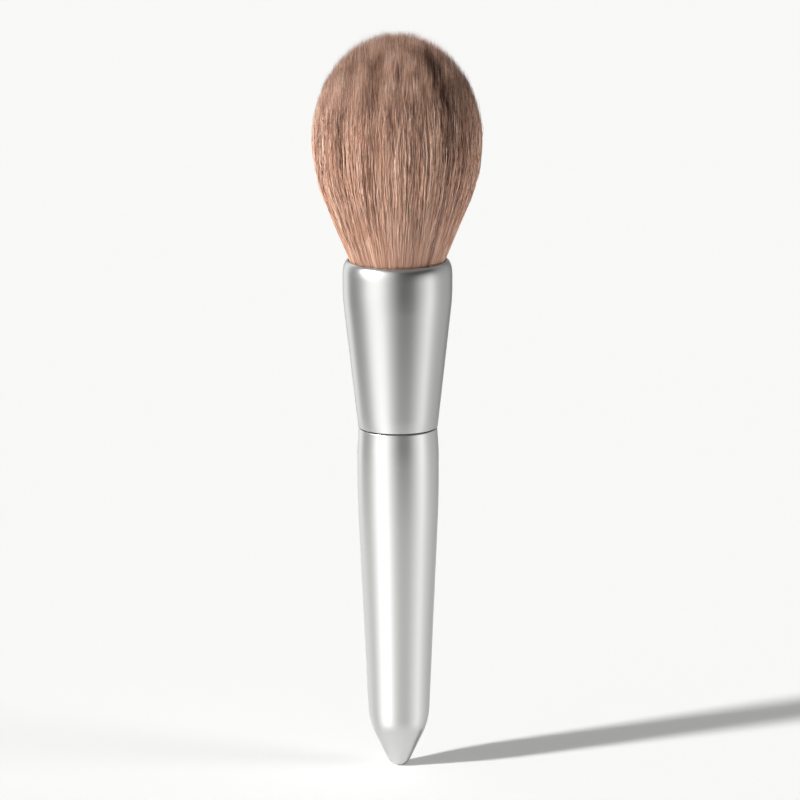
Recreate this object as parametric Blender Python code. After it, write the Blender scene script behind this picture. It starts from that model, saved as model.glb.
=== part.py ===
# Powder brush with a satin aluminium handle and a domed tuft of synthetic fibre.
#
# The brush stands along +Z with its origin at the tip of the handle. It is built as it is assembled: a
# moulded core is glued into the handle's thin shell, its tenon goes up into a moulded sleeve in the
# ferrule, and the sleeve's cup holds the hair's roots, which are tied with thread and set in resin.
# All sizes are in metres.

import math

import bmesh
import bpy

# Handle, measured from the tip
HANDLE_LENGTH = 0.08355  # tip to rim
HANDLE_RADIUS = 0.00972  # at its widest
HANDLE_RIM_RADIUS = 0.00938
HANDLE_WALL = 0.0008
HANDLE_NOSE_RADIUS = 0.003
POINT_LENGTH = 0.01105  # tip to the edge where the bullet point meets the long taper
POINT_RADIUS = 0.00719  # at that edge
POINT_FILLET = 0.025
SWELL_BELOW_RIM = 0.01725  # where the long taper would reach the widest radius
SWELL_FILLET = 0.284
SHOULDER_BELOW_RIM = 0.00605  # where the handle starts to draw in towards the rim
SHOULDER_FILLET = 0.06
HANDLE_RIM_ROUND = 0.00045

# Ferrule, measured from its foot
FERRULE_LENGTH = 0.04035
FERRULE_RADIUS = 0.01303  # at its widest, under the lip
FERRULE_FOOT_RADIUS = 0.0095
FERRULE_WALL = 0.0008
FERRULE_FOOT_ROUND = 0.0004
FLARE_FILLET = 0.041  # where the flare meets the straight band under the lip
BAND_HEIGHT = 0.0053
LIP_HEIGHT = 0.0036  # the lip is a quarter of an ellipse, this high
LIP_DEPTH = 0.00134  # and this deep
INNER_EDGE_ROUND = 0.00015

# Clearances
SEAM_GAP = 0.0003  # between the handle's rim and the ferrule's foot
GLUE_GAP = 0.0003  # between any two pieces that are glued

# Core of the handle
TENON_RADIUS = 0.0064
TENON_LENGTH = 0.0112
TENON_CHAMFER = 0.0006
GLUE_GROOVES = 3
GLUE_GROOVE_WIDTH = 0.0011
GLUE_GROOVE_DEPTH = 0.0005

# Sleeve in the ferrule
SLEEVE_LENGTH = 0.0295
SLEEVE_WALL = 0.0011
SLEEVE_WEB = 0.0020  # the floor between the cup and the socket
SLEEVE_CHAMFER = 0.0005

# Root plug and the thread wound round its waist
ROOT_COLLAR = 0.0009  # height of the plug's full width above and below its waist
THREAD_RADIUS = 0.0003
THREAD_TURNS = 4
THREAD_PITCH = 0.00105
THREAD_POINTS_PER_TURN = 20

# Hair, measured from the ferrule's mouth
BELLY_RADIUS = 0.0205
BELLY_HEIGHT = 0.0293
DOME_HEIGHT = 0.0245
FLANK_ANGLE = math.radians(22.3)  # between the axis and the hair that leaves the mouth
FLANK_REACH = 0.0151  # how far the hair keeps that angle
BELLY_REACH = 0.0090  # how far below the belly it turns upright
SLICE_THICKNESS = 0.0015  # the slice of the root plug that the strands are fused to
STRAND_DIP = 0.0008  # how deep a strand goes into that slice
STRAND_COUNT = 310
STRAND_SIDES = 3
STRAND_WIDTH_SHARE = 0.34  # of the space that each strand has to itself
STRAND_TIP_RADIUS = 0.0004
FLANK_KNOT_SHARE = 0.40  # places along the fan's curve where the strands bend
BELLY_KNOT_SHARE = 0.72
INNER_STRAND_SHARE = 0.60  # strands this near the axis skip the first of those bends

# How finely the shapes are cut
SHELL_SIDES = 40
INNER_SIDES = 36
OUTER_ARC_STEP = math.radians(10)
INNER_ARC_STEP = math.radians(24)
LIP_STEPS = 7
INNER_LIP_STEPS = 4
MERGE_DISTANCE = 0.000001
SHARP_ANGLE = math.radians(35)
GOLDEN_ANGLE = math.pi * (3 - math.sqrt(5))
MILLIMETRES_PER_METRE = 1000

FERRULE_FOOT_HEIGHT = HANDLE_LENGTH + SEAM_GAP
MOUTH_RADIUS = FERRULE_RADIUS - LIP_DEPTH
LIP_BOTTOM = FERRULE_LENGTH - LIP_HEIGHT
SOCKET_DEPTH = TENON_LENGTH + GLUE_GAP - SEAM_GAP
CUP_FLOOR = SOCKET_DEPTH + SLEEVE_WEB
ROOT_BOTTOM = CUP_FLOOR + GLUE_GAP
WAIST_BOTTOM = ROOT_BOTTOM + ROOT_COLLAR
WAIST_TOP = WAIST_BOTTOM + THREAD_TURNS * THREAD_PITCH + THREAD_RADIUS * 2 + GLUE_GAP * 2
ROOT_TOP = WAIST_TOP + ROOT_COLLAR
SLICE_BOTTOM = ROOT_TOP + GLUE_GAP
SLICE_TOP = SLICE_BOTTOM + SLICE_THICKNESS


def clear_scene():
    for thing in list(bpy.data.objects):
        bpy.data.objects.remove(thing)


def linear(code):
    """Turn an sRGB hex colour into the linear values that a shader works in."""
    shades = [int(code[start:start + 2], 16) / 255 for start in (1, 3, 5)]
    return [s / 12.92 if s <= 0.04045 else ((s + 0.055) / 1.055) ** 2.4 for s in shades]


def finish(name, code, roughness, metallic=0.0):
    material = bpy.data.materials.new(name)
    material.use_nodes = True
    shader = material.node_tree.nodes["Principled BSDF"]
    shader.inputs["Base Color"].default_value = (*linear(code), 1)
    shader.inputs["Roughness"].default_value = roughness
    shader.inputs["Metallic"].default_value = metallic
    return material


# Outlines are lists of (radius, height) points, and corners are (radius, height, fillet radius)


def crossing(point, way, other_point, other_way):
    """Where two straight lines meet in the plane of an outline."""
    spread = way[0] * other_way[1] - way[1] * other_way[0]
    across = other_point[0] - point[0]
    up = other_point[1] - point[1]
    along = (across * other_way[1] - up * other_way[0]) / spread
    return point[0] + along * way[0], point[1] + along * way[1]


def direction(start, end):
    across, up = end[0] - start[0], end[1] - start[1]
    length = math.hypot(across, up)
    return across / length, up / length


def parallel(corners, inset):
    """Move an outline that runs upwards towards the axis, so that walls and gaps are even."""
    ways = [direction(start, end) for start, end in zip(corners, corners[1:])]
    starts = [(c[0] - w[1] * inset, c[1] + w[0] * inset) for c, w in zip(corners, ways)]
    first, last = corners[0], corners[-1]
    first_way = (0, 1) if first[0] == 0 else (1, 0)
    moved = [crossing(starts[0], ways[0], first, first_way)]
    for index in range(1, len(ways)):
        moved.append(crossing(starts[index - 1], ways[index - 1], starts[index], ways[index]))
    moved.append(crossing(starts[-1], ways[-1], last, (1, 0)))
    return [(*place, max(corner[2] - inset, 0)) for place, corner in zip(moved, corners)]


def fillet(before, corner, after, arc_step):
    """The points of an arc that rounds one corner."""
    way_in, way_out = direction(before, corner), direction(corner, after)
    turn = math.atan2(way_in[0] * way_out[1] - way_in[1] * way_out[0],
                      way_in[0] * way_out[0] + way_in[1] * way_out[1])
    if corner[2] == 0 or turn == 0:
        return [corner[:2]]
    side = math.copysign(1, turn)
    reach = corner[2] * math.tan(abs(turn) / 2)
    start = (corner[0] - way_in[0] * reach, corner[1] - way_in[1] * reach)
    centre = (start[0] - way_in[1] * side * corner[2], start[1] + way_in[0] * side * corner[2])
    heading = math.atan2(start[1] - centre[1], start[0] - centre[0])
    steps = max(2, math.ceil(abs(turn) / arc_step))
    angles = [heading + turn * step / steps for step in range(steps + 1)]
    return [(centre[0] + corner[2] * math.cos(a), centre[1] + corner[2] * math.sin(a)) for a in angles]


def rounded(corners, arc_step):
    """An outline through the corners, each rounded by its own fillet. Its two ends stay sharp."""
    outline = [corners[0][:2]]
    for before, corner, after in zip(corners, corners[1:], corners[2:]):
        outline += fillet(before, corner, after, arc_step)
    return outline + [corners[-1][:2]]


def nosed(corners, arc_step):
    """As rounded, for an outline whose first corner is a point on the axis with a round nose."""
    apex, edge = corners[0], corners[1]
    mirrored = (-edge[0], edge[1])
    arc = fillet(mirrored, apex, edge, arc_step)
    upper_half = arc[(len(arc) + 1) // 2:]
    bottom = apex[1] + apex[2] * (math.hypot(edge[0], edge[1] - apex[1]) / edge[0] - 1)
    tangent = (*upper_half[-1], 0)
    return [(0, bottom)] + upper_half[:-1] + rounded([tangent] + corners[1:], arc_step)


def height_on(corners, radius):
    """The height at which an outline that only widens reaches a radius."""
    for start, end in zip(corners, corners[1:]):
        if start[0] <= radius <= end[0]:
            return start[1] + (end[1] - start[1]) * (radius - start[0]) / (end[0] - start[0])
    return corners[-1][1]


def radius_on(corners, height):
    """The radius of an outline at a height."""
    for start, end in zip(corners, corners[1:]):
        if start[1] <= height <= end[1]:
            return start[0] + (end[0] - start[0]) * (height - start[1]) / (end[1] - start[1])
    return corners[-1][0]


def turned(name, outline, material, sides, closed=False):
    """Turn an outline about Z. It starts and ends on the axis, or is a closed ring's section."""
    shape = bmesh.new()
    points = [shape.verts.new((radius, 0, height)) for radius, height in outline]
    pairs = list(zip(points, points[1:]))
    if closed:
        pairs.append((points[-1], points[0]))
    edges = [shape.edges.new(pair) for pair in pairs]
    bmesh.ops.spin(shape, geom=points + edges, axis=(0, 0, 1), cent=(0, 0, 0),
                   angle=2 * math.pi, steps=sides, use_merge=True)
    bmesh.ops.remove_doubles(shape, verts=shape.verts, dist=MERGE_DISTANCE)
    bmesh.ops.recalc_face_normals(shape, faces=shape.faces)
    return placed(name, shape, material)


def placed(name, shape, material):
    mesh = bpy.data.meshes.new(name)
    shape.to_mesh(mesh)
    shape.free()
    mesh.materials.append(material)
    mesh.shade_smooth()
    mesh.set_sharp_from_angle(angle=SHARP_ANGLE)
    thing = bpy.data.objects.new(name, mesh)
    bpy.context.collection.objects.link(thing)
    return thing


# Handle


def handle_corners():
    """The handle's outer line, from the tip up to the rim."""
    edge_distance = math.hypot(POINT_RADIUS, POINT_LENGTH - HANDLE_NOSE_RADIUS)
    edge_angle = math.atan2(POINT_RADIUS, POINT_LENGTH - HANDLE_NOSE_RADIUS)
    cone_angle = edge_angle - math.asin(HANDLE_NOSE_RADIUS / edge_distance)
    apex = HANDLE_NOSE_RADIUS - HANDLE_NOSE_RADIUS / math.sin(cone_angle)
    return [
        (0, apex, HANDLE_NOSE_RADIUS),
        (POINT_RADIUS, POINT_LENGTH, POINT_FILLET),
        (HANDLE_RADIUS, HANDLE_LENGTH - SWELL_BELOW_RIM, SWELL_FILLET),
        (HANDLE_RADIUS, HANDLE_LENGTH - SHOULDER_BELOW_RIM, SHOULDER_FILLET),
        (HANDLE_RIM_RADIUS, HANDLE_LENGTH, HANDLE_RIM_ROUND),
    ]


def handle_shell():
    """A drawn aluminium shell, closed at its bullet point and open at its rim."""
    outer = handle_corners()
    bore = parallel(outer, HANDLE_WALL)
    rim_bore = (bore[-1][0], HANDLE_LENGTH, INNER_EDGE_ROUND)
    outside = nosed(outer + [rim_bore], OUTER_ARC_STEP)[:-1]
    inside = nosed(bore, INNER_ARC_STEP)[:-1]
    edge = fillet(outer[-1], rim_bore, bore[-2], INNER_ARC_STEP)
    outline = outside + edge + inside[::-1]
    return turned("handle_shell", outline, finish("handle_satin_aluminium", "#C9CACB", 0.3, 1.0), SHELL_SIDES)


def handle_core():
    """The core follows the shell's bore up to a barrel that passes the rim, and ends in the tenon."""
    line = parallel(handle_corners(), HANDLE_WALL + GLUE_GAP)
    barrel = min(line[2][0], parallel(handle_corners(), HANDLE_WALL)[-1][0] - GLUE_GAP)
    corners = line[:2] + [(barrel, height_on(line, barrel), 0), (barrel, HANDLE_LENGTH, 0)]
    outline = nosed(corners, INNER_ARC_STEP)
    tenon_top = HANDLE_LENGTH + TENON_LENGTH
    outline.append((TENON_RADIUS, HANDLE_LENGTH))
    pitch = TENON_LENGTH / (GLUE_GROOVES + 1)
    for index in range(1, GLUE_GROOVES + 1):
        low = HANDLE_LENGTH + index * pitch - GLUE_GROOVE_WIDTH / 2
        high = low + GLUE_GROOVE_WIDTH
        floor = TENON_RADIUS - GLUE_GROOVE_DEPTH
        outline += [(TENON_RADIUS, low), (floor, low), (floor, high), (TENON_RADIUS, high)]
    outline.append((TENON_RADIUS, tenon_top - TENON_CHAMFER))
    outline.append((TENON_RADIUS - TENON_CHAMFER, tenon_top))
    outline.append((0, tenon_top))
    return turned("handle_core", outline, finish("core_moulded_plastic", "#D8D4CB", 0.5), INNER_SIDES)


# Ferrule and what it holds, all measured from the ferrule's foot


def ferrule_corners():
    """The ferrule's outer line, from its foot up to where the lip begins."""
    return [
        (FERRULE_FOOT_RADIUS, 0, FERRULE_FOOT_ROUND),
        (FERRULE_RADIUS, LIP_BOTTOM - BAND_HEIGHT, FLARE_FILLET),
        (FERRULE_RADIUS, LIP_BOTTOM, 0),
    ]


def lip(wall, steps):
    """The rolled lip, a quarter of an ellipse from the ferrule's side in to its mouth."""
    points = []
    for step in range(1, steps + 1):
        angle = math.pi / 2 * step / steps
        radius = MOUTH_RADIUS + (LIP_DEPTH - wall) * math.cos(angle)
        height = LIP_BOTTOM + (LIP_HEIGHT - wall) * math.sin(angle)
        points.append((radius, height))
    return points


def ferrule():
    """A spun aluminium shell, open at both ends, whose lip is rolled in round the hair."""
    outer = ferrule_corners()
    bore = parallel(outer, FERRULE_WALL)
    foot_bore = (*bore[0][:2], INNER_EDGE_ROUND)
    outside = rounded([foot_bore] + outer, OUTER_ARC_STEP)[1:] + lip(0, LIP_STEPS)
    inside = rounded(bore, INNER_ARC_STEP)[1:] + lip(FERRULE_WALL, INNER_LIP_STEPS)
    edge = fillet(bore[1], foot_bore, outer[0], INNER_ARC_STEP)
    outline = outside + inside[::-1] + edge
    shell = finish("ferrule_satin_aluminium", "#C9CACB", 0.3, 1.0)
    return turned("ferrule", outline, shell, SHELL_SIDES, closed=True)


def sleeve_bore():
    return parallel(ferrule_corners(), FERRULE_WALL + GLUE_GAP + SLEEVE_WALL)


def ferrule_sleeve():
    """A moulded sleeve with a socket for the tenon below its web and a cup for the roots above."""
    line = parallel(ferrule_corners(), FERRULE_WALL + GLUE_GAP)
    bore = sleeve_bore()
    socket = TENON_RADIUS + GLUE_GAP
    outline = [
        (0, CUP_FLOOR),
        (radius_on(bore, CUP_FLOOR), CUP_FLOOR),
        (radius_on(bore, SLEEVE_LENGTH), SLEEVE_LENGTH),
        (radius_on(line, SLEEVE_LENGTH) - SLEEVE_CHAMFER, SLEEVE_LENGTH),
        (radius_on(line, SLEEVE_LENGTH - SLEEVE_CHAMFER), SLEEVE_LENGTH - SLEEVE_CHAMFER),
        (line[0][0], 0),
        (socket + SLEEVE_CHAMFER, 0),
        (socket, SLEEVE_CHAMFER),
        (socket, SOCKET_DEPTH),
        (0, SOCKET_DEPTH),
    ]
    return turned("ferrule_sleeve", outline, finish("sleeve_moulded_plastic", "#3B3836", 0.5), INNER_SIDES)


def root_line():
    return parallel(ferrule_corners(), FERRULE_WALL + SLEEVE_WALL + GLUE_GAP * 2)


def waist_radius():
    """The waist is deep enough for the thread to lie inside the plug's full width."""
    return radius_on(root_line(), ROOT_BOTTOM) - THREAD_RADIUS * 2 - GLUE_GAP


def root_resin():
    """The plug of roots set in resin, with the waist that the thread draws it in to."""
    line, waist = root_line(), waist_radius()
    outline = [
        (0, ROOT_BOTTOM),
        (radius_on(line, ROOT_BOTTOM), ROOT_BOTTOM),
        (radius_on(line, WAIST_BOTTOM), WAIST_BOTTOM),
        (waist, WAIST_BOTTOM),
        (waist, WAIST_TOP),
        (radius_on(line, WAIST_TOP), WAIST_TOP),
        (radius_on(line, ROOT_TOP), ROOT_TOP),
        (0, ROOT_TOP),
    ]
    return turned("root_resin", outline, finish("root_epoxy", "#B9A06A", 0.3), INNER_SIDES)


def root_thread():
    """One thread wound round the waist, with a straight run of its own width at each end."""
    radius = waist_radius() + GLUE_GAP + THREAD_RADIUS
    middle = (WAIST_BOTTOM + WAIST_TOP) / 2
    steps = THREAD_TURNS * THREAD_POINTS_PER_TURN
    places = []
    for step in range(steps + 1):
        angle = 2 * math.pi * step / THREAD_POINTS_PER_TURN
        height = middle + THREAD_PITCH * (step / THREAD_POINTS_PER_TURN - THREAD_TURNS / 2)
        places.append((radius * math.cos(angle), radius * math.sin(angle), height))
    places.insert(0, (radius, -THREAD_RADIUS * 2, places[0][2]))
    places.append((radius, THREAD_RADIUS * 2, places[-1][2]))
    whole_turns = range(1, steps + 2 - THREAD_POINTS_PER_TURN)
    pitches = [math.dist(places[i], places[i + THREAD_POINTS_PER_TURN]) for i in whole_turns]
    least_gap = (min(pitches) - THREAD_RADIUS * 2) * MILLIMETRES_PER_METRE
    print(f"least gap between the thread's turns: {least_gap:.2f} mm")

    curve = bpy.data.curves.new("root_thread", "CURVE")
    curve.dimensions = "3D"
    curve.bevel_depth = THREAD_RADIUS
    curve.bevel_resolution = 1
    curve.use_fill_caps = True
    spline = curve.splines.new("POLY")
    spline.points.add(len(places) - 1)
    for point, place in zip(spline.points, places):
        point.co = (*place, 1)
    curve.materials.append(finish("tying_thread", "#E4DCCB", 0.8))
    thing = bpy.data.objects.new("root_thread", curve)
    bpy.context.collection.objects.link(thing)
    return thing


# Hair


def flank(share):
    """A point on the tuft's side, from the mouth at share 0 up to the belly at share 1."""
    controls = [
        (MOUTH_RADIUS - GLUE_GAP, FERRULE_LENGTH),
        (MOUTH_RADIUS - GLUE_GAP + FLANK_REACH * math.sin(FLANK_ANGLE),
         FERRULE_LENGTH + FLANK_REACH * math.cos(FLANK_ANGLE)),
        (BELLY_RADIUS, FERRULE_LENGTH + BELLY_HEIGHT - BELLY_REACH),
        (BELLY_RADIUS, FERRULE_LENGTH + BELLY_HEIGHT),
    ]
    rest = 1 - share
    weights = (rest ** 3, 3 * rest ** 2 * share, 3 * rest * share ** 2, share ** 3)
    return tuple(sum(w * c[axis] for w, c in zip(weights, controls)) for axis in (0, 1))


def strand_rings(share):
    """Centre radius, height and half-width of one strand where it bends, from its root to its tip.

    Share is the strand's place between the axis and the tuft's side. All strands follow one fan,
    scaled by their share, so none crosses another.
    """
    width_share = STRAND_WIDTH_SHARE * math.sqrt(math.pi / STRAND_COUNT)
    fan = [
        (radius_on(root_line(), SLICE_TOP) - GLUE_GAP, SLICE_TOP - STRAND_DIP),
        flank(0),
        flank(FLANK_KNOT_SHARE),
        flank(BELLY_KNOT_SHARE),
    ]
    if share < INNER_STRAND_SHARE:
        del fan[2]
    rings = []
    for side, height in fan:
        centre = side / (1 + width_share)
        rings.append((share * centre, height, centre * width_share))
    tip_height = FERRULE_LENGTH + BELLY_HEIGHT + DOME_HEIGHT * math.sqrt(1 - share ** 2)
    rings.append((share * (BELLY_RADIUS - STRAND_TIP_RADIUS), tip_height, STRAND_TIP_RADIUS))
    return rings


def strand_places():
    """Share and direction of each strand, laid out as seeds in a sunflower, which fills a disc evenly."""
    return [(math.sqrt((index + 0.5) / STRAND_COUNT), index * GOLDEN_ANGLE) for index in range(STRAND_COUNT)]


def strands(material):
    """All strands, each a three-sided rod whose rings lie flat."""
    shape = bmesh.new()
    for share, azimuth in strand_places():
        rings = []
        for centre, height, half_width in strand_rings(share):
            x, y = centre * math.cos(azimuth), centre * math.sin(azimuth)
            turns = [azimuth + 2 * math.pi * side / STRAND_SIDES for side in range(STRAND_SIDES)]
            corners = [(x + half_width * math.cos(t), y + half_width * math.sin(t), height) for t in turns]
            rings.append([shape.verts.new(corner) for corner in corners])
        for lower, upper in zip(rings, rings[1:]):
            for side in range(STRAND_SIDES):
                following = (side + 1) % STRAND_SIDES
                shape.faces.new((lower[side], lower[following], upper[following], upper[side]))
        shape.faces.new(rings[0][::-1])
        shape.faces.new(rings[-1])
    return placed("strand_guide", shape, material)


def least_strand_gap():
    """The least level distance between two strands, looked at where they bend and half-way between."""
    fans = [(azimuth, strand_rings(share)) for share, azimuth in strand_places()]
    outermost = fans[-1][1]
    heights = [ring[1] for ring in outermost]
    heights += [(low + high) / 2 for low, high in zip(heights, heights[1:])]
    least = BELLY_RADIUS
    for height in heights:
        circles = []
        for azimuth, rings in fans:
            for low, high in zip(rings, rings[1:]):
                if low[1] <= height <= high[1]:
                    along = (height - low[1]) / (high[1] - low[1])
                    centre = low[0] + (high[0] - low[0]) * along
                    half_width = low[2] + (high[2] - low[2]) * along
                    circles.append((centre * math.cos(azimuth), centre * math.sin(azimuth), half_width))
                    break
        for index, circle in enumerate(circles):
            for other in circles[:index]:
                least = min(least, math.dist(circle[:2], other[:2]) - circle[2] - other[2])
    return least


def bristle_tuft():
    """The strands, fused to the top slice of the resin that holds their roots."""
    line = root_line()
    outline = [
        (0, SLICE_BOTTOM),
        (radius_on(line, SLICE_BOTTOM), SLICE_BOTTOM),
        (radius_on(line, SLICE_TOP), SLICE_TOP),
        (0, SLICE_TOP),
    ]
    fibre = finish("synthetic_fibre", "#A9836F", 0.6)
    tuft = turned("bristle_tuft", outline, fibre, INNER_SIDES)
    guide = strands(fibre)
    guide.hide_render = True
    guide.display_type = "WIRE"
    join = tuft.modifiers.new("join_strands", "BOOLEAN")
    join.operation = "UNION"
    join.solver = "EXACT"
    join.object = guide
    print(f"least gap between strands: {least_strand_gap() * MILLIMETRES_PER_METRE:.2f} mm")
    return tuft, guide


def build():
    clear_scene()
    handle_shell()
    handle_core()
    head = bpy.data.objects.new("head", None)
    head.location = (0, 0, FERRULE_FOOT_HEIGHT)
    bpy.context.collection.objects.link(head)
    for thing in (ferrule(), ferrule_sleeve(), root_resin(), root_thread(), *bristle_tuft()):
        thing.parent = head
    length = (FERRULE_FOOT_HEIGHT + FERRULE_LENGTH + BELLY_HEIGHT + DOME_HEIGHT) * MILLIMETRES_PER_METRE
    across = BELLY_RADIUS * 2 * MILLIMETRES_PER_METRE
    print(f"brush: {length:.1f} mm long, head {across:.1f} mm across")


build()
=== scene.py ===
# %% [markdown]
# # A powder brush: turned metal and forty thousand fibres
#
# The brush has a domed tuft of soft fibre, a satin aluminium ferrule that holds it, and a slim aluminium
# handle that closes in a bullet point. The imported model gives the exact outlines. Here they are kept, and
# what they lack is added: metal with fine curves, tens of thousands of fibres, finishes and a small studio.

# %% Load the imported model
import math

import bpy
import numpy as np
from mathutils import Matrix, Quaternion, Vector, kdtree


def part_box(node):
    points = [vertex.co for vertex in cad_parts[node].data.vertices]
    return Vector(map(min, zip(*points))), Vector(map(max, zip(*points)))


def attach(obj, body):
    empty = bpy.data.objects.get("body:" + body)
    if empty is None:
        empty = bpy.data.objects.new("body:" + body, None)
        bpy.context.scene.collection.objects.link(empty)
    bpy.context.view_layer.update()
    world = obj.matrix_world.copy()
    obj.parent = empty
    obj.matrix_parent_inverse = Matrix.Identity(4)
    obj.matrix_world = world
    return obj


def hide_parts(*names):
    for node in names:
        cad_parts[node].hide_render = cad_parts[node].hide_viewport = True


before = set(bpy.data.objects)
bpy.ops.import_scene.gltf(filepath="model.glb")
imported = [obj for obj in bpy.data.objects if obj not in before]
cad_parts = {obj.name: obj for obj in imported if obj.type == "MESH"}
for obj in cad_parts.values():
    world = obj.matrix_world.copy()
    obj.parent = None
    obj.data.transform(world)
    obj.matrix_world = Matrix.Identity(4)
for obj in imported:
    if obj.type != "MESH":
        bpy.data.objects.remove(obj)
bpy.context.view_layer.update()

MM = 0.001

# %% [markdown]
# ## Measure before modelling
#
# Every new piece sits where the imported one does, so the heights and widths come from its boxes. Only what a
# box can't tell, such as where a curve begins, is written as a size of its own.

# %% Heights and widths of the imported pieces
_, handle_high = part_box("handle_shell")
ferrule_low, ferrule_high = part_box("ferrule")
tuft_low, tuft_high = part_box("bristle_tuft")
RIM = handle_high.z
HANDLE_RADIUS = handle_high.x
FOOT = ferrule_low.z
MOUTH = ferrule_high.z
FERRULE_RADIUS = ferrule_high.x
TOP = tuft_high.z
print(f"the handle ends at {RIM / MM:.1f} mm and the hair at {TOP / MM:.1f} mm")
print(f"the ferrule stands from {FOOT / MM:.1f} to {MOUTH / MM:.1f} mm")

# %% [markdown]
# ## The camera
#
# In the photograph the ferrule's mouth shows as a flat ellipse and the brush's sides are nearly parallel.
# A long lens, a little over a metre away and slightly above, gives such a view. Angles could be typed in
# until the view fits, but to_track_quat finds them: it points one axis of the camera along the line to its
# aim. A small roll follows, because the brush leans a little in the picture.

# %% Set the camera up
CAMERA_PLACE = Vector((0, -1.300, 0.370))
CAMERA_AIM = Vector((0.0005, 0, 0.0901))
CAMERA_ROLL = math.radians(-0.2)
SENSOR_WIDTH_MM = 36
LENS_MM = 251

camera = bpy.data.objects.new("camera", bpy.data.cameras.new("camera"))
bpy.context.scene.collection.objects.link(camera)
camera.data.sensor_width = SENSOR_WIDTH_MM
camera.data.lens = LENS_MM
camera.location = CAMERA_PLACE
looking = (CAMERA_AIM - CAMERA_PLACE).to_track_quat("-Z", "Y")
camera.rotation_euler = (looking @ Quaternion((0, 0, 1), CAMERA_ROLL)).to_euler()
bpy.context.scene.camera = camera
look_down = math.asin((CAMERA_PLACE - CAMERA_AIM).normalized().z)
print(f"the camera looks down at {math.degrees(look_down):.1f} degrees")

# %% [markdown]
# ## Turning metal on a lathe
#
# The real handle and ferrule are round all over: a lathe or a spinning tool gives them their shape. The same
# idea works here. Half of the outline is drawn as a chain of vertices in the XZ plane, its corners are
# rounded, and Spin turns it about Z. A cylinder that is scaled ring by ring would do too, but an outline
# shows the whole profile at once and is easier to correct.

# %% Small tools for drawing an outline
def edit_all():
    bpy.ops.object.mode_set(mode="EDIT")
    bpy.ops.mesh.select_mode(type="VERT")
    bpy.ops.mesh.select_all(action="SELECT")


def start_outline(name, radius, height):
    """Leave one selected vertex in edit mode: a small plane, merged to its centre."""
    bpy.ops.object.select_all(action="DESELECT")
    bpy.ops.mesh.primitive_plane_add(size=MM)
    piece = bpy.context.object
    piece.name = piece.data.name = name
    edit_all()
    bpy.ops.mesh.merge(type="CENTER")
    bpy.ops.transform.translate(value=(radius, 0, height))
    return piece


def draw_to(places, start):
    """Extrude the selected vertex from place to place."""
    here = start
    for place in places:
        step = (place[0] - here[0], 0, place[1] - here[1])
        bpy.ops.mesh.extrude_vertices_move(TRANSFORM_OT_translate={"value": step})
        here = place


def select_where(piece, test):
    """Select the vertices whose place passes the test, and come back in edit mode."""
    bpy.ops.object.mode_set(mode="EDIT")
    bpy.ops.mesh.select_all(action="DESELECT")
    bpy.ops.object.mode_set(mode="OBJECT")
    for vertex in piece.data.vertices:
        vertex.select = bool(test(vertex.co))
    bpy.ops.object.mode_set(mode="EDIT")


# %% Round a corner of an outline
MERGE_DISTANCE = 0.001 * MM


def round_corner(piece, before, corner, after, fillet, segments):
    """Bevel one vertex. The arc's radius sets how far from the corner it starts."""
    way_in = Vector((corner[0] - before[0], corner[1] - before[1]))
    way_out = Vector((after[0] - corner[0], after[1] - corner[1]))
    reach = fillet * math.tan(way_in.angle(way_out) / 2)
    place = Vector((corner[0], 0, corner[1]))
    select_where(piece, lambda co: (co - place).length < MERGE_DISTANCE)
    bpy.ops.mesh.bevel(offset_type="ABSOLUTE", offset=reach, segments=segments, affect="VERTICES")


# %% Turn an outline into a solid of revolution
SIDES = 256
LONGEST_SPAN = 4 * MM


def cut_long_spans(piece):
    """Add points on long straight stretches, so that smooth shading stays true beside the arcs."""
    bpy.ops.object.mode_set(mode="EDIT")
    bpy.ops.mesh.select_mode(type="EDGE")
    bpy.ops.mesh.select_all(action="DESELECT")
    bpy.ops.object.mode_set(mode="OBJECT")
    points = piece.data.vertices
    longest = 0
    for edge in piece.data.edges:
        length = (points[edge.vertices[0]].co - points[edge.vertices[1]].co).length
        edge.select = length > LONGEST_SPAN
        longest = max(longest, length)
    bpy.ops.object.mode_set(mode="EDIT")
    if longest > LONGEST_SPAN:
        bpy.ops.mesh.subdivide(number_cuts=math.ceil(longest / LONGEST_SPAN))


def turn(piece):
    """Spin the outline about Z, merge the seam and the pole, and make the faces point outwards."""
    edit_all()
    bpy.ops.mesh.spin(steps=SIDES, angle=2 * math.pi, center=(0, 0, 0), axis=(0, 0, 1))
    bpy.ops.mesh.select_all(action="SELECT")
    bpy.ops.mesh.remove_doubles(threshold=MERGE_DISTANCE)
    bpy.ops.mesh.normals_make_consistent(inside=False)
    bpy.ops.object.mode_set(mode="OBJECT")
    widest = max(piece.data.polygons, key=lambda face: face.center.xy.length)
    if widest.normal.xy.dot(widest.center.xy) < 0:
        edit_all()
        bpy.ops.mesh.flip_normals()
        bpy.ops.object.mode_set(mode="OBJECT")


# %% Give a turned piece its wall and its soft edges
EDGE_SEGMENTS = 3
RIM_ANGLE = math.radians(50)
SMOOTH_ANGLE = math.radians(40)


def apply_all(piece):
    for modifier in list(piece.modifiers):
        bpy.ops.object.modifier_apply(modifier=modifier.name)


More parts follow.
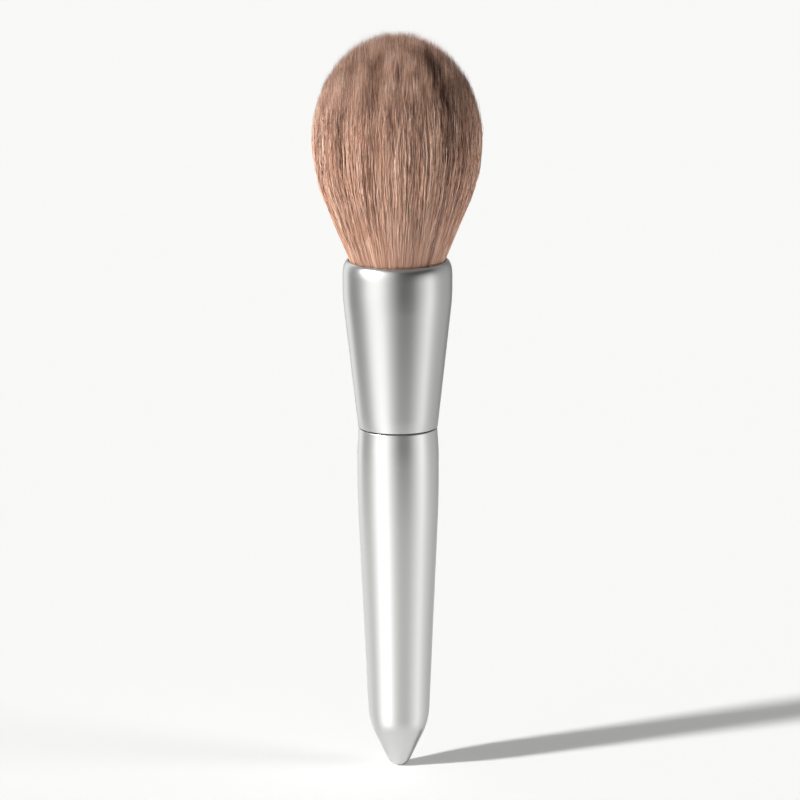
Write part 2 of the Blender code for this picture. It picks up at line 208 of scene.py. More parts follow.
def give_wall(piece, wall, edge_round):
    """Thicken the shell inwards and break its sharp rims."""
    thicken = piece.modifiers.new("wall", "SOLIDIFY")
    thicken.thickness = wall
    thicken.offset = -1
    thicken.use_even_offset = True
    break_edges = piece.modifiers.new("rims", "BEVEL")
    break_edges.width = edge_round
    break_edges.segments = EDGE_SEGMENTS
    break_edges.limit_method = "ANGLE"
    break_edges.angle_limit = RIM_ANGLE
    apply_all(piece)
    bpy.ops.object.shade_smooth_by_angle(angle=SMOOTH_ANGLE)
    highest = max(vertex.co.z for vertex in piece.data.vertices)
    print(f"{piece.name}: {len(piece.data.polygons)} faces, to {highest / MM:.2f} mm")


# %% [markdown]
# ## The handle
#
# The handle is a thin shell that is drawn and then turned: a bullet point, a long taper that swells slowly,
# and a shoulder that draws in a little towards the seam. The nose is an arc that runs into the point's
# nearly straight side. Its tangent point follows from the two sizes, so no kink can appear there.

# %% Draw the handle's outline
NOSE_RADIUS = 3.0 * MM
NOSE_STEPS = 12
POINT_LENGTH = 11.05 * MM
POINT_RADIUS = 7.19 * MM
SWELL_BELOW_RIM = 17.25 * MM
SHOULDER_BELOW_RIM = 6.05 * MM
RIM_RADIUS = 9.38 * MM

edge_reach = math.hypot(POINT_RADIUS, POINT_LENGTH - NOSE_RADIUS)
side_angle = math.atan2(POINT_RADIUS, POINT_LENGTH - NOSE_RADIUS) - math.asin(NOSE_RADIUS / edge_reach)
tangent = (NOSE_RADIUS * math.cos(side_angle), NOSE_RADIUS * (1 - math.sin(side_angle)))
handle_line = [
    tangent,
    (POINT_RADIUS, POINT_LENGTH),
    (HANDLE_RADIUS, RIM - SWELL_BELOW_RIM),
    (HANDLE_RADIUS, RIM - SHOULDER_BELOW_RIM),
    (RIM_RADIUS, RIM),
]

handle = start_outline("satin_handle", 0, 0)
nose_centre = (0, 0, NOSE_RADIUS)
bpy.ops.mesh.spin(steps=NOSE_STEPS, angle=math.pi / 2 - side_angle, center=nose_centre, axis=(0, 1, 0))
draw_to(handle_line[1:], tangent)
print(f"the point's side leans {math.degrees(side_angle):.1f} degrees from the axis")

# %% Round it, turn it and give it its wall
POINT_FILLET = 15 * MM
SWELL_FILLET = 284 * MM
SHOULDER_FILLET = 60 * MM
HANDLE_SEGMENTS = 8
WALL = 0.8 * MM
RIM_ROUND = 0.3 * MM

fillets = (POINT_FILLET, SWELL_FILLET, SHOULDER_FILLET)
for before, corner, after, fillet in zip(handle_line, handle_line[1:], handle_line[2:], fillets):
    round_corner(handle, before, corner, after, fillet, HANDLE_SEGMENTS)
cut_long_spans(handle)
turn(handle)
give_wall(handle, WALL, RIM_ROUND)

# %% [markdown]
# ## The ferrule
#
# A ferrule is spun from thin aluminium tube. This one flares from the seam up to a short straight band, and
# its lip is rolled in round the hair so that no sharp edge touches a cheek. The lip is a quarter of a
# circle, spun in the outline and then stretched upwards into a quarter of an ellipse.

# %% Draw the ferrule's outline
FOOT_RADIUS = 9.5 * MM
BAND_HEIGHT = 5.3 * MM
LIP_HEIGHT = 3.6 * MM
LIP_DEPTH = 1.34 * MM
LIP_STEPS = 16

lip_bottom = MOUTH - LIP_HEIGHT
ferrule_line = [
    (FOOT_RADIUS, FOOT),
    (FERRULE_RADIUS, lip_bottom - BAND_HEIGHT),
    (FERRULE_RADIUS, lip_bottom),
]
ferrule = start_outline("satin_ferrule", *ferrule_line[0])
draw_to(ferrule_line[1:], ferrule_line[0])
lip_centre = (FERRULE_RADIUS - LIP_DEPTH, 0, lip_bottom)
bpy.ops.mesh.spin(steps=LIP_STEPS, angle=math.pi / 2, center=lip_centre, axis=(0, 1, 0))
select_where(ferrule, lambda co: co.z > lip_bottom + MERGE_DISTANCE)
bpy.ops.transform.resize(value=(1, 1, LIP_HEIGHT / LIP_DEPTH), center_override=lip_centre)
print(f"the mouth is {2 * lip_centre[0] / MM:.1f} mm across")

# %% Round it, turn it and give it its wall
FLARE_FILLET = 41 * MM
FLARE_SEGMENTS = 12

round_corner(ferrule, *ferrule_line, FLARE_FILLET, FLARE_SEGMENTS)
cut_long_spans(ferrule)
turn(ferrule)
give_wall(ferrule, WALL, RIM_ROUND)

# %% [markdown]
# ## The roots
#
# Before a tuft goes into its ferrule its roots are dipped in epoxy, which sets as a plug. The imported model
# has the plug as a piece of its own and one slice of it with the hair. The slice is a short turned disc with
# a broken edge, drawn as the metal is but without a wall, because it is solid.

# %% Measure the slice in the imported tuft
SLICE_THICKNESS = 1.5 * MM
SAME_HEIGHT = 0.05 * MM

slice_top = tuft_low.z + SLICE_THICKNESS


def widest_at(node, height):
    """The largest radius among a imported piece's points at one height."""
    points = [node.matrix_world @ vertex.co for vertex in node.data.vertices]
    return max(point.xy.length for point in points if abs(point.z - height) < SAME_HEIGHT)


low_radius = widest_at(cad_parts["bristle_tuft"], tuft_low.z)
high_radius = widest_at(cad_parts["bristle_tuft"], slice_top)
print(f"the slice is {2 * low_radius / MM:.1f} mm across below and {2 * high_radius / MM:.1f} mm above")

# %% Turn the slice and break its edges
SLICE_EDGE = 0.2 * MM

root_slice = start_outline("root_slice", 0, tuft_low.z)
draw_to([(low_radius, tuft_low.z), (high_radius, slice_top), (0, slice_top)], (0, tuft_low.z))
turn(root_slice)
break_edges = root_slice.modifiers.new("edges", "BEVEL")
break_edges.width = SLICE_EDGE
break_edges.segments = EDGE_SEGMENTS
break_edges.limit_method = "ANGLE"
apply_all(root_slice)
bpy.ops.object.shade_smooth_by_angle(angle=SMOOTH_ANGLE)
print(f"{root_slice.name}: {len(root_slice.data.polygons)} faces")

# %% [markdown]
# ## One fibre
#
# The hair is polyester, drawn into fibres a tenth of a millimetre thick and ground to soft points. One is
# modelled by hand, a triangle that is extruded ring by ring and closed in a point. Its length is 1, so that
# a height on it says how far along the fibre a point lies. With smooth shading three sides look round. These
# fibres are half again as thick as such fibres are, so that forty thousand of them fill the tuft.

# %% Model one fibre
# The outermost fibres have many rings, because their waves show. The inner ones need only a few
FIBRE_SIDES = 3
FIBRE_RADIUS = 0.074 * MM
ROOT_RADIUS = 0.048 * MM
MOUTH_SHARE = 0.2
SWAY_SHARE = 0.28
FULL_SHARE = 0.5
TAPER_SHARE = 0.18
TAPER_POWER = 0.6
LAST_RING_SHARE = 0.955
SWAY_RINGS = 13
SKIN_RINGS = [0, MOUTH_SHARE, *np.linspace(SWAY_SHARE, LAST_RING_SHARE, SWAY_RINGS)]
MIDDLE_RINGS = [0, MOUTH_SHARE, 0.4, 0.6, 0.8, 0.92]
INNER_RINGS = [0, MOUTH_SHARE, 0.88]


def fibre_radius(share):
    """A fibre is thin where it is packed tight at the root, and tapers to a soft point."""
    body = np.interp(share, (MOUTH_SHARE, FULL_SHARE), (ROOT_RADIUS, FIBRE_RADIUS))
    return float(body * min(1, (1 - share) / TAPER_SHARE) ** TAPER_POWER)


def model_fibre(name, rings):
    """Extrude a triangle from ring to ring and merge its end."""
    bpy.ops.object.select_all(action="DESELECT")
    bpy.ops.mesh.primitive_circle_add(vertices=FIBRE_SIDES, radius=fibre_radius(0), fill_type="NGON")
    pattern = bpy.context.object
    pattern.name = name
    edit_all()
    for low, high in zip(rings, rings[1:]):
        grow_by = fibre_radius(high) / fibre_radius(low)
        bpy.ops.mesh.extrude_region_move(TRANSFORM_OT_translate={"value": (0, 0, high - low)})
        bpy.ops.transform.resize(value=(grow_by, grow_by, 1), center_override=(0, 0, high))
    bpy.ops.mesh.extrude_region_move(TRANSFORM_OT_translate={"value": (0, 0, 1 - rings[-1])})
    bpy.ops.mesh.merge(type="CENTER")
    edit_all()
    bpy.ops.mesh.normals_make_consistent(inside=False)
    bpy.ops.object.mode_set(mode="OBJECT")
    print(f"{name}: {len(pattern.data.vertices)} points, {len(pattern.data.polygons)} faces")
    return pattern


# %% [markdown]
# ## A bake cell for each fibre
#
# When the model is exported its colours are baked into a picture, which needs a flat map of every face. An
# automatic map would cut forty thousand fibres into specks. So each fibre gets one small cell of the map, its
# three sides side by side in it, root at the bottom and tip at the top.

# %% Lay one fibre's faces out in its cell
CAP_SHARE = 0.05


def cell_places(pattern, rings):
    """For each corner of each face, its place in the fibre's cell, from 0 to 1 both ways."""
    third = 2 * math.pi / FIBRE_SIDES
    places = []
    for face in pattern.data.polygons:
        corners = [pattern.data.vertices[index].co for index in face.vertices]
        is_cap = max(corner.z for corner in corners) == 0
        middle = math.atan2(face.center.y, face.center.x)
        side = 0 if is_cap else math.floor(middle / third % FIBRE_SIDES)
        for number, corner in enumerate(corners):
            turned = (math.atan2(corner.y, corner.x) - middle + math.pi) % (2 * math.pi) - math.pi
            across = 0.5 + turned / third if corner.xy.length > MERGE_DISTANCE else 0.5
            ring = np.searchsorted(rings, corner.z - MERGE_DISTANCE) / len(rings)
            if is_cap:
                places.append((number / FIBRE_SIDES, CAP_SHARE * (number % 2)))
            else:
                places.append(((side + across) / FIBRE_SIDES, CAP_SHARE + (1 - CAP_SHARE) * ring))
    return np.array(places)


def keep_pattern(name, rings):
    """Model a fibre, and keep its points, its faces and its cell for the copies."""
    pattern = model_fibre(name, rings)
    points = np.array([vertex.co for vertex in pattern.data.vertices])
    faces = [tuple(face.vertices) for face in pattern.data.polygons]
    places = cell_places(pattern, rings)
    bpy.data.objects.remove(pattern)
    return points, faces, places


skin_fibre = keep_pattern("skin_fibre", SKIN_RINGS)
middle_fibre = keep_pattern("middle_fibre", MIDDLE_RINGS)
inner_fibre = keep_pattern("inner_fibre", INNER_RINGS)

# %% [markdown]
# ## Where the fibres stand
#
# The roots fill a round hole evenly. Seeds in a sunflower do the same: each turns by the golden angle from
# the last and stands a little further out. A place is kept as a point in a disc of radius 1, and the tuft's
# own radius at each height scales it, so that all fibres follow one fan and few of them cross.

# %% Lay out the roots
FIBRE_COUNT = 42000
LOCK_COUNT = 15000
TRESS_COUNT = 700
GOLDEN_ANGLE = math.pi * (3 - math.sqrt(5))
SCATTER_SHARE = 0.5
RANDOM_SEED = 7
random = np.random.default_rng(RANDOM_SEED)


def sunflower(count):
    """Evenly spread places in a disc of radius 1, each moved by a share of the step to the next."""
    index = np.arange(count)
    angle = index * GOLDEN_ANGLE
    radius = np.sqrt((index + 0.5) / count)
    places = np.stack([radius * np.cos(angle), radius * np.sin(angle)], axis=1)
    return places + random.normal(0, SCATTER_SHARE / math.sqrt(count), places.shape)


def nearest(places, centres):
    """For each place, the number of the nearest centre."""
    tree = kdtree.KDTree(len(centres))
    for index, centre in enumerate(centres):
        tree.insert((*centre, 0), index)
    tree.balance()
    return np.array([tree.find((*place, 0))[1] for place in places])


roots = sunflower(FIBRE_COUNT)
locks = sunflower(LOCK_COUNT)
tresses = sunflower(TRESS_COUNT)
lock_of = nearest(roots, locks)
tress_of = nearest(locks, tresses)[lock_of]
print(f"{FIBRE_COUNT} fibres, {LOCK_COUNT} locks, {TRESS_COUNT} tresses")

# %% [markdown]
# ## The fan
#
# The tuft's side leaves the mouth at an angle and turns upright at the belly, a smooth curve with two
# handles. Above the belly the fibres draw in slightly, and the dome is cut by their lengths: a fibre near
# the middle is long, one near the side is short. The dense hair ends about half a millimetre inside the
# packed outline, and stray fibres fill the rest.

# %% The tuft's side
MOUTH_GAP = 0.3 * MM
BELLY_HEIGHT = 29.3 * MM
BELLY_RADIUS = 19.75 * MM
FLANK_ANGLE = math.radians(22.3)
FLANK_REACH = 15.1 * MM
FLANK_STEPS = 60
BELLY_REACH = 9.0 * MM
TUCK_SHARE = 0.06
TUCK_END_SHARE = 1.2
ROOT_SINK = 0.5 * MM
ROOT_GAP = 0.3 * MM
root_line = slice_top - ROOT_SINK

belly = MOUTH + BELLY_HEIGHT
dome_height = TOP - belly
mouth_radius = lip_centre[0] - MOUTH_GAP
handles = np.array([
    (mouth_radius, MOUTH),
    (mouth_radius + FLANK_REACH * math.sin(FLANK_ANGLE), MOUTH + FLANK_REACH * math.cos(FLANK_ANGLE)),
    (BELLY_RADIUS, belly - BELLY_REACH),
    (BELLY_RADIUS, belly),
])
# How much the start, the two handles and the end count at each step of the curve
gone = np.linspace(0, 1, FLANK_STEPS)[:, None]
to_go = 1 - gone
weights = np.hstack([to_go ** 3, 3 * to_go ** 2 * gone, 3 * to_go * gone ** 2, gone ** 3])
side = np.vstack([(high_radius - ROOT_GAP, root_line), weights @ handles])


def tuft_radius(height):
    """The radius of the dense hair at a height."""
    above = np.clip((height - belly) / dome_height, 0, TUCK_END_SHARE)
    return np.interp(height, side[:, 1], side[:, 0]) * (1 - TUCK_SHARE * above ** 2)


print(f"the belly is {2 * BELLY_RADIUS / MM:.1f} mm across at {belly / MM:.1f} mm")

# %% [markdown]
# ## Locks and stray fibres
#
# Hair never lies perfectly even. Fibres cling together in locks, a lock sits a little deeper or leans to a
# side, tips end at slightly different heights, and a few fibres stand out. Light falls into the gaps
# between locks and draws the fine dark lines that make hair look like hair.

# %% How each lock and fibre leans, and how deep it lies
LOCK_LEAN_SHARE = 0.016
TRESS_LEAN_SHARE = 0.008
FIBRE_LEAN_SHARE = 0.026
LOCK_DEPTH_SHARE = 0.014
TRESS_DEPTH_SHARE = 0.004
FUZZ_SHARE = 0.008
MOST_FUZZ_SHARE = 0.035
STRAY_SHARE = 0.04
STRAY_OUT_SHARE = 0.015

lock_lean = random.normal(0, LOCK_LEAN_SHARE, (LOCK_COUNT, 2))
tress_lean = random.normal(0, TRESS_LEAN_SHARE, (TRESS_COUNT, 2))
fibre_lean = random.normal(0, FIBRE_LEAN_SHARE, (FIBRE_COUNT, 2))
lean = fibre_lean + lock_lean[lock_of] + tress_lean[tress_of]
lock_depth = np.abs(random.normal(0, LOCK_DEPTH_SHARE, LOCK_COUNT))
tress_depth = np.abs(random.normal(0, TRESS_DEPTH_SHARE, TRESS_COUNT))
depth = -lock_depth[lock_of] - tress_depth[tress_of]
fuzz = np.minimum(random.exponential(FUZZ_SHARE, FIBRE_COUNT), MOST_FUZZ_SHARE)
stray = random.random(FIBRE_COUNT) < STRAY_SHARE
fuzz += np.where(stray, random.random(FIBRE_COUNT) * STRAY_OUT_SHARE, 0)
print(f"{stray.sum()} stray fibres")

# %% How long each fibre is, and how it waves
FIBRE_LENGTH = 0.75 * MM
LOCK_LENGTH = 0.62 * MM
TRESS_LENGTH = 0.30 * MM
LEAST_WAVES = 3
MORE_WAVES = 3.5

lock_length = random.normal(0, LOCK_LENGTH, LOCK_COUNT)
tress_length = random.normal(0, TRESS_LENGTH, TRESS_COUNT)
length = lock_length[lock_of] + tress_length[tress_of]
length -= np.abs(random.normal(0, FIBRE_LENGTH, FIBRE_COUNT))
wave_phase = random.random((FIBRE_COUNT, 2)) * 2 * math.pi
wave_turns = LEAST_WAVES + random.random((FIBRE_COUNT, 2)) * MORE_WAVES
swirl = random.random(FIBRE_COUNT) * 2 * math.pi

# %% An easy curve, which many of the steps below use
def smooth(low, high, value):
    """0 below low, 1 above high, and an easy curve between."""
    share = np.clip((value - low) / (high - low), 0, 1)
    return share * share * (3 - 2 * share)


# %% How each lock weaves in and out along its length
WEAVE_KNOTS = 19
LOCK_WEAVE_SHARE = 0.006
FIBRE_WEAVE_SHARE = 0.006
lock_weave = random.normal(0, LOCK_WEAVE_SHARE, (LOCK_COUNT, WEAVE_KNOTS))
fibre_weave = random.normal(0, FIBRE_WEAVE_SHARE, (FIBRE_COUNT, WEAVE_KNOTS))


def weave_at(knots, along):
    """The values between the knots, for each row and each share along the fibre."""
    place = along * (WEAVE_KNOTS - 1)
    low = np.minimum(place.astype(int), WEAVE_KNOTS - 2)
    return knots[:, low] * (1 - place + low) + knots[:, low + 1] * (place - low)


# %% The tone of each fibre and lock
# Along a lock other fibres come to the front, and so its tone changes from knot to knot
FIBRE_TONE = 0.15
FIBRE_CHANGE = 0.10
LOCK_TONE = 0.07
LOCK_CHANGE = 0.06
TRESS_TONE = 0.07


def random_tones(count, tone, change):
    """For each row a tone of its own, which changes a little from knot to knot."""
    return random.normal(0, tone, (count, 1)) + random.normal(0, change, (count, WEAVE_KNOTS))


fibre_tone = random_tones(FIBRE_COUNT, FIBRE_TONE, FIBRE_CHANGE)
lock_tone = random_tones(LOCK_COUNT, LOCK_TONE, LOCK_CHANGE)
tress_tone = random.normal(0, TRESS_TONE, (TRESS_COUNT, 1))

# %% Partings, where the tuft has been pressed open
# Each has two ends in the disc, the half widths of its left and right bank, and what happens along it: how
# much shorter the locks stand, how far they lean apart, and how much darker they look, which is painted
# shade in their colour for the shadow in the cleft. The outermost locks close over it. The first one has a
# steep left bank and lies in its shadow, for the key stands at the left
PARTINGS = [
    ((0.38, -0.36), (0.56, -0.72), 0.06, 0.15, 3.6 * MM, 0.035, 1.4),
    ((-0.22, -0.60), (-0.27, -0.80), 0.12, 0.12, 0.8 * MM, 0.01, 0.22),
    ((0.08, -0.90), (0.17, -0.95), 0.07, 0.07, 0.5 * MM, 0.01, 0.25),
]
RAGGED_LEAST = 0.4
RAGGED_MOST = 1.6
CLOSED_FROM = 0.90
CLOSED_TO = 0.985
TINY = 1e-9
ragged = random.uniform(RAGGED_LEAST, RAGGED_MOST, (LOCK_COUNT, 1))
ragged *= 1 - smooth(CLOSED_FROM, CLOSED_TO, np.linalg.norm(locks, axis=1, keepdims=True))
parting_painted_shade = np.zeros((LOCK_COUNT, 1))
opened = np.zeros((LOCK_COUNT, 2))
shortened = np.zeros((LOCK_COUNT, 1))
for start, end, left_bank, right_bank, deep, apart, darker in PARTINGS:
    run = np.array(end) - np.array(start)
    from_start = locks - np.array(start)
    share = np.clip(from_start @ run / (run @ run), 0, 1)[:, None]
    aside = from_start - run * share
    gap = np.linalg.norm(aside, axis=1, keepdims=True)
    is_right = aside @ np.array((-run[1], run[0])) > 0
    bank = np.where(is_right, right_bank, left_bank)[:, None]
    near = np.exp(-(gap / bank) ** 2) * ragged
    # Painted shade: locks near a parting get a darker colour, standing in for the shadow in the cleft
    parting_painted_shade += near * darker
    opened += near * apart * aside / np.maximum(gap, TINY)
    shortened += near * deep
length -= shortened[lock_of, 0]
print(f"the deepest parting is {shortened.max() / MM:.1f} mm deep")

# %% The shade of each fibre along its length
# Tones fade in from the mouth, where all hair is pressed together, and are strongest at the tips. The crown
# is darkened with painted shade, for its fibres are seen end on and face up, away from the low key. The
# banks of a parting get painted shade too
MOUTH_TONE_SHARE = 0.35
TIP_TONE_SHARE = 3.0
FORMED_FROM_SHARE = 0.55
FORMED_TO_SHARE = 0.7
CROWN_PAINTED_SHADE = 0.34
CROWN_INNER_SHARE = 0.2
CROWN_OUTER_SHARE = 0.8
CROWN_FROM_SHARE = 0.8
BANK_FROM_SHARE = 0.5
BANK_TO_SHARE = 0.85


def fibre_shades(chosen, along):
    """From 0, dark, to 1, light, for the chosen fibres at the shares along their lengths."""
    formed = np.interp(
        along,
        (MOUTH_SHARE, FORMED_FROM_SHARE, FORMED_TO_SHARE, 1),
        (MOUTH_TONE_SHARE, 1, 1, TIP_TONE_SHARE))
    tone = weave_at(lock_tone[lock_of[chosen]], along) + tress_tone[tress_of[chosen]]
    reach = np.linalg.norm(roots[chosen], axis=1, keepdims=True)
    crown = (1 - smooth(CROWN_INNER_SHARE, CROWN_OUTER_SHARE, reach)) * smooth(CROWN_FROM_SHARE, 1, along)
    bank = parting_painted_shade[lock_of[chosen]] * smooth(BANK_FROM_SHARE, BANK_TO_SHARE, along)
    # Painted shade on the parting banks and the crown, darkening the colour itself
    dark = bank + CROWN_PAINTED_SHADE * crown
    return np.clip(0.5 + weave_at(fibre_tone[chosen], along) + tone * formed - dark, 0, 1)


# %% The way each fibre runs
LOCK_PULL_SHARE = 0.40
LOCK_PULLED_SHARE = 0.6
TRESS_PULL_SHARE = 0.06
FREE_SHARE = 0.7
WAVE_SHARE = 0.006
OPEN_FROM_SHARE = 0.5
TIP_FUZZ = 0.7 * MM
TIP_RISE = 0.55 * MM
TIPS_BELOW_BELLY = 4 * MM
DOME_FULLNESS = 2.25


def tip_height(places):
    """The height at which a fibre at this place in the disc ends."""
    reach = np.clip(np.linalg.norm(places, axis=1), 0, 1)
    return belly + TIP_RISE + dome_height * np.sqrt(1 - reach ** DOME_FULLNESS)


def fibre_paths(chosen, along):
    """Places of the chosen fibres at the shares along their lengths, as (fibre, share, xyz)."""
    lock = lock_of[chosen]
    tress = tress_of[chosen]
    free = smooth(MOUTH_SHARE, FREE_SHARE, along)[None, :, None]
    # Locks and tresses draw their fibres together
    lock_pull = LOCK_PULL_SHARE * smooth(MOUTH_SHARE, LOCK_PULLED_SHARE, along)[None, :, None]
    tress_pull = TRESS_PULL_SHARE * free
    places = roots[chosen][:, None, :] * (1 - lock_pull - tress_pull)
    places = places + locks[lock][:, None, :] * lock_pull + tresses[tress][:, None, :] * tress_pull
    # Each fibre leans and waves, and leans away from a parting
    turns = 2 * math.pi * wave_turns[chosen][:, None, :] * along[None, :, None]
    wave = np.sin(wave_phase[chosen][:, None, :] + turns)
    places = places + lean[chosen][:, None, :] * free + wave * WAVE_SHARE * free
    places = places + opened[lock][:, None, :] * smooth(OPEN_FROM_SHARE, 1, along)[None, :, None]
    # It weaves in and out, and nothing but fuzz passes the dense hair's side
    weave = weave_at(lock_weave[lock], along) + weave_at(fibre_weave[chosen], along)
    places = places * (1 + (depth[chosen][:, None, None] + weave[:, :, None]) * free)
    reach = np.linalg.norm(places, axis=2, keepdims=True)
    limit = 1 + (weave[:, :, None] - LOCK_WEAVE_SHARE) * free
    places = places * np.minimum(1, limit / np.maximum(reach, TINY))
    tips = tip_height(places[:, -1]) + length[chosen]
    places = places * (1 + fuzz[chosen][:, None, None] * free)
    # The disc grows and shrinks with the tuft's radius on the way up to the tip
    tips = np.clip(tips, belly - TIPS_BELOW_BELLY, TOP + TIP_FUZZ)[:, None]
    inside = np.clip(along / MOUTH_SHARE, 0, 1)[None, :]
    outside = np.clip((along - MOUTH_SHARE) / (1 - MOUTH_SHARE), 0, 1)[None, :]
    heights = root_line + (MOUTH - root_line) * inside + (tips - MOUTH) * outside
    across = places * tuft_radius(heights)[:, :, None]
    return np.concatenate([across, heights[:, :, None]], axis=2)


# %% [markdown]
# ## Growing the tuft
#
# To extrude forty thousand fibres one after another would take hours. Instead the points of the pattern
# are copied and moved along each fibre's own path, all at once, and written into a few meshes. Each fibre
# carries its shade as an attribute, a number for each point, which the material turns into a colour.

# %% Give each fibre its cell of the map
CELL_MARGIN_SHARE = 0.08
CELL_TALLNESS = 2


def bake_map(mesh, places, count):
    """Share a square out into one tall cell for each fibre."""
    columns = math.ceil(math.sqrt(CELL_TALLNESS * count))
    rows = math.ceil(count / columns)
    number = np.arange(count)
    corners = np.stack([number % columns, number // columns], axis=1)[:, None, :]
    inside = CELL_MARGIN_SHARE + places[None, :, :] * (1 - 2 * CELL_MARGIN_SHARE)
    spread = (corners + inside) / (columns, rows)
    mesh.uv_layers.new(name="OFBake").data.foreach_set("uv", spread.ravel().astype(np.float32))


# %% Build the meshes of fibres
SKIN_FROM_SHARE = 0.91
MIDDLE_FROM_SHARE = 0.8
FACES_PER_PIECE = 95000
# Points belong to one ring when their heights are the same to this many digits
RING_DIGITS = 4


def grow(name, chosen, pattern):
    """Copy the pattern along the paths of the chosen fibres, into one mesh."""
    points, pattern_faces, places = pattern
    size = len(points)
    along, ring_of = np.unique(np.round(points[:, 2], RING_DIGITS), return_inverse=True)
    paths = fibre_paths(chosen, along)[:, ring_of]
    turn_x = np.cos(swirl[chosen])[:, None]
    turn_y = np.sin(swirl[chosen])[:, None]
    x = points[None, :, 0]
    y = points[None, :, 1]
    paths[:, :, 0] += x * turn_x - y * turn_y
    paths[:, :, 1] += x * turn_y + y * turn_x
    faces = []
    for first in range(0, len(chosen) * size, size):
        faces.extend([tuple(first + corner for corner in face) for face in pattern_faces])
    mesh = bpy.data.meshes.new(name)
    mesh.from_pydata(paths.reshape(-1, 3), [], faces)
    shade = mesh.attributes.new("shade", "FLOAT", "POINT")
    shade.data.foreach_set("value", fibre_shades(chosen, along)[:, ring_of].ravel().astype(np.float32))
    bake_map(mesh, places, len(chosen))
    mesh.shade_smooth()
    piece = bpy.data.objects.new(name, mesh)
    bpy.context.scene.collection.objects.link(piece)
    return piece


def grow_all(name, chosen, pattern):
    """Share the fibres out over as many pieces as keeps each one light."""
    count = math.ceil(len(chosen) * len(pattern[1]) / FACES_PER_PIECE)
    return [grow(f"{name}_{number + 1}", group, pattern)
            for number, group in enumerate(np.array_split(chosen, count))]


out = np.linalg.norm(roots, axis=1)
is_skin = out > SKIN_FROM_SHARE
is_inner = out <= MIDDLE_FROM_SHARE
tuft = grow_all("skin_fibres", np.flatnonzero(is_skin), skin_fibre)
tuft += grow_all("middle_fibres", np.flatnonzero(~is_skin & ~is_inner), middle_fibre)
tuft += grow_all("inner_fibres", np.flatnonzero(is_inner), inner_fibre)
for piece in tuft:
    piece.data.calc_loop_triangles()
    print(f"{piece.name}: {len(piece.data.loop_triangles)} triangles")

# %% [markdown]
# ## Finishes
#
# A finish starts from what the real material is. Two small helpers do for all of them: one turns a hex
# colour into the linear values a shader works in, the other adds a node with its settings and its links.

# %% Helpers for materials
def to_linear(code):
    """Turn an sRGB hex colour into linear values."""
    shades = [int(code[start:start + 2], 16) / 255 for start in (1, 3, 5)]
    return (*[s / 12.92 if s <= 0.04045 else ((s + 0.055) / 1.055) ** 2.4 for s in shades], 1)


def add_node(tree, kind, inputs=(), **settings):
    """Add a node, set its properties, and give its inputs a value or a link."""
    node = tree.nodes.new(kind)
    for name, value in settings.items():
        setattr(node, name, value)
    for name, value in dict(inputs).items():
        if isinstance(value, bpy.types.NodeSocket):
            tree.links.new(value, node.inputs[name])
        else:
            node.inputs[name].default_value = value
    return node


def new_material(name):
    """An empty material and its node tree."""
    material = bpy.data.materials.new(name)
    material.use_nodes = True
    material.node_tree.nodes.clear()
    return material, material.node_tree


def put_on(pieces, material):
    for piece in pieces:
        piece.data.materials.clear()
        piece.data.materials.append(material)


# %% [markdown]
# ## Satin aluminium
#
# The real metal is aluminium, blasted with fine glass beads and then clear anodised. The beads leave a skin
# of tiny dimples, and so the eye gets broad soft bands of light and no sharp mirror image. The dimples could
# be drawn as a bump, but they are far too fine to show, and coarser ones would break the bands up. Roughness
# blurs a mirror image as the dimples do, and a noise varies it a little from place to place.

# %% Make the satin aluminium
# The real grit leaves marks of a few hundredths of a millimetre. Here they are drawn 0.8 mm wide. Clouds
# lie over them, where the blast was held a little longer. The ferrule looks a shade darker than the handle
# in the photograph, and so its colour is a little darker
GRIT_SIZE = 0.8 * MM
CLOUD_SIZE = 9 * MM
NOISE_LOW = 0.7
NOISE_HIGH = 1.3
LEAST_ROUGHNESS = 0.275
MOST_ROUGHNESS = 0.295


def satin_aluminium(name, code):
    """Bead-blasted and clear anodised: the grit's fine dimples blur what the metal mirrors."""
    material, tree = new_material(name)
    place = add_node(tree, "ShaderNodeTexCoord").outputs["Object"]
    grit = add_node(tree, "ShaderNodeTexNoise", {"Vector": place, "Scale": 1 / GRIT_SIZE, "Detail": 0.0})
    cloud = add_node(tree, "ShaderNodeTexNoise", {"Vector": place, "Scale": 1 / CLOUD_SIZE, "Detail": 3.0})
    both = add_node(tree, "ShaderNodeMath", {0: grit.outputs["Fac"], 1: cloud.outputs["Fac"]})
    rough = add_node(tree, "ShaderNodeMapRange", {
        "Value": both.outputs["Value"], "From Min": NOISE_LOW, "From Max": NOISE_HIGH,
        "To Min": LEAST_ROUGHNESS, "To Max": MOST_ROUGHNESS})
    shader = add_node(tree, "ShaderNodeBsdfPrincipled", {
        "Base Color": to_linear(code), "Metallic": 1.0, "Roughness": rough.outputs["Result"]})
    add_node(tree, "ShaderNodeOutputMaterial", {"Surface": shader.outputs["BSDF"]})
    return material


put_on([handle], satin_aluminium("anodised_aluminium_handle", "#CBCBCA"))
put_on([ferrule], satin_aluminium("anodised_aluminium_ferrule", "#C0C0BE"))
